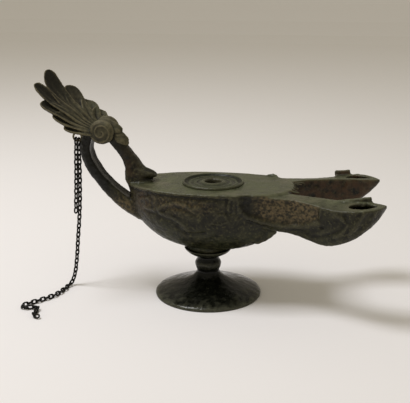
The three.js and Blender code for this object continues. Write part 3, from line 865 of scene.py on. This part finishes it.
class LAMP_OT_chain(bpy.types.Operator):
    """Hang the two strands of links from the eye"""

    bl_idname = "lamp.chain"
    bl_label = "Chain"

    def execute(self, context):
        wire = context.scene.lamp_sizes.link_wire / MM
        dark = wire_patina(context.scene.lamp_colours)
        for name, route in (("chain_long", LONG_ROUTE), ("chain_short", SHORT_ROUTE)):
            finished(chain(name + "_links", route, wire), dark, "chain_bronze", name)
        return {"FINISHED"}


def walls(places, normals):
    """Each point's share of an upright wall, whether that wall faces out, and the ridge's height there."""
    side = np.clip(np.abs(normals[:, 1]) * 1.6 - 0.3, 0, 1)
    outward = np.sign(normals[:, 1]) == np.sign(places[:, 1])
    return side, outward, np.interp(places[:, 0], *zip(*KEEL_RIDGE))


def patch(x, z, middle_x, middle_z, reach_x, reach_z):
    """Closeness to a patch of the side walls: 1 in its middle, fading over its reach."""
    return np.exp(-(((x - middle_x) / reach_x) ** 2) - ((z - middle_z) / reach_z) ** 2)


def casting_relief(obj, pitting):
    """Raises and cuts the worn ornament of the side walls, and pits the skin."""
    places, normals = read_points(obj)
    x, y, z = places.T
    side, outward, ridge = walls(places, normals)
    side = side * outward
    top = rise(normals[:, 2], 0.8, 0.05) * rise(z, 69.0, 0.2)
    height = np.zeros(len(places))
    for points, width, depth in SIDE_LINES:
        height += side * WORN * depth * near_line(places, points, width)
    # The nozzle's panel, sunk between the ridge and the flat top, and grainy
    panel = rise(x, PANEL_REAR, 0.8) * rise(-x, -PANEL_FRONT, 0.25)
    panel = side * panel * rise(z, ridge + 1.6, 0.4) * rise(-z, -69.2, 0.2)
    height += panel * (lumps(places, 1.5, 3, 2) * 0.2 - 0.5)
    # The notch behind it and the swelling cheek before it
    height -= side * 0.9 * rise(x, NOTCH_REAR, 0.5) * rise(-x, -NOTCH_FRONT, 0.5) * rise(z, NOTCH_BOTTOM, 0.8)
    height += side * 0.5 * rise(x, PANEL_FRONT + 0.3, 0.2) * rise(-x, -PANEL_FRONT - 6, 2.5) * rise(z, 56, 2)
    # Corrosion, heavier on the walls than on the flat top
    bowl = side * rise(-x, -32, 3) * rise(z, 56, 3)
    broad = lumps(places, 7, 1, 3)
    skin = lumps(places, 2.6, 2, 3)
    height += (1 - top) * pitting * (0.5 * skin + 0.8 * broad) + bowl * 0.15 * skin
    height += top * 0.1 * broad
    write_points(obj, places + normals * height[:, None])


def casting_notes(obj, pale=1.0):
    """Notes where the top, the gold specks, the red-brown and the green patina lie, the hollows, and the
    painted shade.
    """
    places, normals = read_points(obj)
    x, y, z = places.T
    side, outward, ridge = walls(places, normals)
    note(obj, "top", pale * rise(normals[:, 2], 0.55, 0.08) * rise(z, 69.0, 0.5) * rise(-z, -74.6, 0.3))
    panel = side * outward * rise(x, PANEL_REAR + 2, 1.5) * rise(-x, -PANEL_FRONT, 0.4)
    gold = panel * rise(z, ridge + 1.5, 0.6) * 0.95 + patch(x, z, *GOLD_BOWL) * side * 0.8
    gold = np.clip(gold + patch(x, z, *GOLD_STRAP), 0, 1) * rise(-normals[:, 2], -0.6, 0.1)
    note(obj, "gold", gold)
    inner = side * ~outward * rise(x, 48, 2)
    limb = patch(x, z, *BROWN_LIMB) * 0.7
    note(obj, "brown", np.clip(inner * 0.9 + patch(x, z, *BROWN_ROOT) * 0.7 + limb, 0, 1))
    rings = np.exp(-((np.hypot(x - BOWL_X, y) - 14) / 9) ** 2) * rise(z, 70, 0.5)
    fork = patch(x, y, 34, 0, 12, 14) * rise(z, 70, 0.5)
    note(obj, "green", np.clip(rings + fork * 0.8 + 0.35 * rise(-z, -50, 3), 0, 1))
    # Painted shade: the notch behind each panel, the back of the ring in the leaf's shadow and the shoulder
    # under the scroll
    notch = side * outward * rise(x, NOTCH_REAR, 1.0) * rise(-x, -NOTCH_FRONT, 1.0)
    notch = notch * rise(z, NOTCH_BOTTOM, 1.5)
    handle = rise(-x, 58, 2.0) * rise(z, 62, 3) * 1.2
    note(obj, "dark", np.clip(handle + notch * 0.7 + patch(x, z, *SHOULDER_SHADE) * 0.7, 0, 1))
    note(obj, "hollow", np.clip(0.5 + hollowness(obj, 8) * 1.1, 0, 1))


def lip_and_bits():
    """The torn lip that droops over the near wall, the bits under the keel, the bump and the spikes."""
    lip = smooth(LIP)

    def place(share, angle):
        x, y, z, thick = lip(share)
        return x, y + math.cos(angle) * thick * 0.8, z + math.sin(angle) * thick

    forms = [sleeve(12, 40, place)]
    for x, y, z, size in (*HANGING_BITS, *EDGE_BUMP):
        bit = bmesh.new()
        bmesh.ops.create_icosphere(bit, subdivisions=2, radius=size)
        bmesh.ops.scale(bit, vec=(1.3, 0.8, 0.8), verts=bit.verts)
        bmesh.ops.translate(bit, verts=bit.verts, vec=(x, y, z))
        forms.append(bit)
    for y, reach in FORK_SPIKES:
        forms.append(egg_form((SPIKE_START, 70.9), (reach, 70.3), 0.9, 0.8))
        bmesh.ops.translate(forms[-1], verts=forms[-1].verts, vec=(0, y, 0))
    return forms


def ear_form(rear, front, y, rear_top, front_top):
    """Upright bar beside a wick hole, which rises to a rounded front corner."""
    bm = bmesh.new()
    bmesh.ops.create_cube(bm, size=1)
    for vert in bm.verts:
        top = front_top if vert.co.x > 0 else rear_top
        height = top if vert.co.z > 0 else EAR_FOOT
        vert.co = (front if vert.co.x > 0 else rear, y + vert.co.y * EAR_THICK, height)
    ends = [e for e in bm.edges if all(v.co.z > EAR_FOOT + 1 for v in e.verts)]
    bmesh.ops.bevel(bm, geom=ends, offset=0.7, segments=3, profile=0.5, affect="EDGES", material=-1)
    return bm


def filling_plug(top):
    """A cylinder that cuts the filling hole, up to a height."""
    return turned([(0, 60), (FILL_RADIUS, 60), (FILL_RADIUS, top), (0, top)], 40, BOWL_X)


def cut(body, name, forms, grain=None):
    """Takes the forms out of the body, melted into one first where a grain is given."""
    cutter = new_object(name, joined(forms))
    if grain:
        applied(cutter, "REMESH", mode="VOXEL", voxel_size=grain)
    applied(body, "BOOLEAN", operation="DIFFERENCE", object=cutter, solver="MANIFOLD")
    bpy.data.objects.remove(cutter)


class LAMP_OT_casting(bpy.types.Operator):
    """Model the bowl, the nozzles and the ring handle as one casting, and the rings of the filling hole"""

    bl_idname = "lamp.casting"
    bl_label = "Lamp body"

    def execute(self, context):
        sizes = context.scene.lamp_sizes
        # The outer forms melt into one skin, which is cut, worn, and then hollowed
        outer = [bowl_form(BOWL_TOP - PLATE_EDGE, BOWL_BOTTOM, PLATE_INSET, 0.0), plate_form(), handle_form()]
        base = [(0, BASE_BOTTOM), (BASE_RADIUS, BASE_BOTTOM), (BASE_RADIUS + 1, BASE_TOP), (0, BASE_TOP)]
        outer.append(turned(base, 64))
        outer += [nozzle_form(side, 0, 40, 90) for side in (1, -1)]
        outer.append(tongue_form())
        outer += [ear_form(*row) for row in EARS]
        outer += lip_and_bits()
        body = new_object("lamp_casting", joined(outer))
        applied(body, "REMESH", mode="VOXEL", voxel_size=sizes.casting_grain)
        cut(body, "holes", [filling_plug(80), wick_form(1), wick_form(-1)])
        applied(body, "REMESH", mode="VOXEL", voxel_size=sizes.casting_grain)
        applied(body, "SMOOTH", factor=0.5, iterations=2)
        casting_relief(body, sizes.pitting / MM)
        inner = [bowl_form(BOWL_TOP - WALL, BOWL_BOTTOM + WALL, 1.0, WALL + 0.6, 64, 32)]
        inner += [nozzle_form(side, NOZZLE_WALL, 24, 40, 0.95) for side in (1, -1)]
        cut(body, "hollow", [*inner, filling_plug(70.5)], HOLLOW_GRAIN)
        casting_notes(body)
        metal = casting_patina(context.scene.lamp_colours)
        finished(body, metal, "dark_bronze", "lamp_body")
        rings = new_object("filling_rings", turned([(r, BOWL_TOP + h) for r, h in MOULDING], 160, BOWL_X))
        weathered(rings, [(0.12, 4, 5)])
        casting_notes(rings, 0.35)
        finished(rings, metal, "dark_bronze")
        return {"FINISHED"}


class LAMP_OT_leaf(bpy.types.Operator):
    """Model the leaf, its scroll, the small leaves on the ring and the eye of the chain"""

    bl_idname = "lamp.leaf"
    bl_label = "Leaf"

    def execute(self, context):
        forms = scroll_forms()
        for row in LOBES:
            hands = (1, -1) if row[0] else (1,)
            forms += [lobe_form(*row, hand) for hand in hands]
        forms += [small_leaf(*row) for row in SMALL_LEAVES] + [egg_form(*row) for row in LIMB_SWELLS]
        leaf = new_object("leaf_and_scroll", joined(forms))
        applied(leaf, "REMESH", mode="VOXEL", voxel_size=context.scene.lamp_sizes.leaf_grain)
        applied(leaf, "SMOOTH", factor=0.4, iterations=1)
        weathered(leaf, [(0.14, 3, 4), (0.1, 9, 6)])
        places, normals = read_points(leaf)
        note(leaf, "hollow", np.clip(0.5 + hollowness(leaf, 8) * 1.6, 0, 1))
        # Where shade is painted: the faces that turn down and back, and the far tips of the lobes
        note(leaf, "under", rise(normals[:, 0] * -0.6 - normals[:, 2] * 0.8, 0.1, 0.15))
        reach = np.hypot(places[:, 0] - SCROLL_X, places[:, 2] - SCROLL_Z)
        note(leaf, "tips", rise(reach, 27, 5))
        metal = leaf_patina(context.scene.lamp_colours)
        finished(leaf, metal, "dark_bronze", "lamp_body")
        angles = np.linspace(0, math.tau, 13)[:-1]
        ring = turned([(EYE_RADIUS + EYE_WIRE * math.cos(a), EYE_WIRE * math.sin(a)) for a in angles], 40)
        bmesh.ops.rotate(ring, cent=(0, 0, 0), matrix=LAID, verts=ring.verts)
        bmesh.ops.translate(ring, verts=ring.verts, vec=(EYE_X, 0, EYE_Z))
        eye = new_object("chain_eye", joined([ring, egg_form(*EYE_ROOT)]))
        finished(eye, metal, "dark_bronze")
        return {"FINISHED"}


class LAMP_OT_foot(bpy.types.Operator):
    """Turn the cup, the beaded stem and the disc foot"""

    bl_idname = "lamp.foot"
    bl_label = "Pedestal foot"

    def execute(self, context):
        outside = smooth(FOOT_OUTSIDE)
        profile = FOOT_HOLLOW + [tuple(outside(k / 90)) for k in range(91)]
        profile += [(CUP_RADIUS, CUP_RIM), (CUP_RADIUS, CUP_SEAT), (0, CUP_SEAT)]
        foot = new_object("foot_turned", turned(profile, context.scene.lamp_sizes.foot_sides, close=False))
        weathered(foot, [(0.12, 3, 7), (0.14, 9, 8)], 1.0)
        note(foot, "hollow", np.clip(0.5 + hollowness(foot, 10) * 1.2, 0, 1))
        finished(foot, foot_patina(context.scene.lamp_colours), "foot_bronze", "pedestal_foot")
        return {"FINISHED"}


class LAMP_OT_stage(bpy.types.Operator):
    """Set the floor, the light and the camera"""

    bl_idname = "lamp.stage"
    bl_label = "Stage"

    def execute(self, context):
        scene, colours = context.scene, context.scene.lamp_colours
        azimuth, elevation = math.radians(VIEW_AZIMUTH), math.radians(VIEW_ELEVATION)
        level = math.cos(elevation)
        back = Vector((math.sin(azimuth) * level, -math.cos(azimuth) * level, math.sin(elevation)))
        data = bpy.data.cameras.new("camera")
        data.lens = LENS
        data.sensor_width = SENSOR
        data.clip_start = 0.01
        camera = bpy.data.objects.new("camera", data)
        camera.location = (Vector(VIEW_AIM) + Vector((FOOT_X, 0, 0))) * MM + back * VIEW_DISTANCE * MM
        camera.rotation_euler = back.to_track_quat("Z", "Y").to_euler()
        scene.collection.objects.link(camera)
        scene.camera = camera

        bm = bmesh.new()
        bmesh.ops.create_grid(bm, x_segments=1, y_segments=1, size=PAPER_HALF)
        far = [edge for edge in bm.edges if all(v.co.y > PAPER_HALF - 0.1 for v in edge.verts)]
        made = bmesh.ops.extrude_edge_only(bm, edges=far)["geom"]
        verts = [part for part in made if isinstance(part, bmesh.types.BMVert)]
        bmesh.ops.translate(bm, verts=verts, vec=(0, PAPER_BACK, PAPER_RISE))
        bmesh.ops.bevel(
            bm, geom=far, offset=PAPER_BEND, segments=12, profile=0.5, affect="EDGES", material=-1
        )
        mesh = bpy.data.meshes.new("floor")
        bm.to_mesh(mesh)
        bm.free()
        mesh.materials.append(paper_finish(colours))
        floor = bpy.data.objects.new("floor", mesh)
        scene.collection.objects.link(floor)

        world = bpy.data.worlds.new("studio")
        world.use_nodes = True
        background = world.node_tree.nodes["Background"]
        background.inputs["Color"].default_value = [*colours.room, 1.0]
        scene.world = world
        scene.view_settings.view_transform = "Standard"

        data = bpy.data.lights.new("key", "AREA")
        data.size = KEY_SIZE
        data.energy = KEY_POWER
        data.color = colours.key
        light = bpy.data.objects.new("key", data)
        light.location = KEY_PLACE
        light.rotation_euler = (Vector(KEY_PLACE) - Vector(KEY_AIM)).to_track_quat("Z", "Y").to_euler()
        scene.collection.objects.link(light)
        return {"FINISHED"}


STEPS = (LAMP_OT_stage, LAMP_OT_chain, LAMP_OT_casting, LAMP_OT_leaf, LAMP_OT_foot)


class LAMP_PT_panel(bpy.types.Panel):
    """Lists the steps that make the lamp, with its sizes and colours"""

    bl_idname = "LAMP_PT_panel"
    bl_label = "Oil lamp"
    bl_space_type = "VIEW_3D"
    bl_region_type = "UI"
    bl_category = "Oil lamp"

    def draw(self, context):
        for group in (context.scene.lamp_sizes, context.scene.lamp_colours):
            for name in type(group).__annotations__:
                self.layout.prop(group, name)
        for operator in STEPS:
            self.layout.operator(operator.bl_idname)


CLASSES = (LampSizes, LampColours, *STEPS, LAMP_PT_panel)


def register():
    """Adds the classes and the settings."""
    for cls in CLASSES:
        bpy.utils.register_class(cls)
    bpy.types.Scene.lamp_sizes = PointerProperty(type=LampSizes)
    bpy.types.Scene.lamp_colours = PointerProperty(type=LampColours)


def unregister():
    """Takes the settings and the classes away."""
    del bpy.types.Scene.lamp_sizes
    del bpy.types.Scene.lamp_colours
    for cls in reversed(CLASSES):
        bpy.utils.unregister_class(cls)


def main():
    """Makes the stage and every piece."""
    register()
    bpy.ops.lamp.stage()
    bpy.ops.lamp.chain()
    bpy.ops.lamp.casting()
    bpy.ops.lamp.leaf()
    bpy.ops.lamp.foot()


if __name__ == "__main__":
    main()
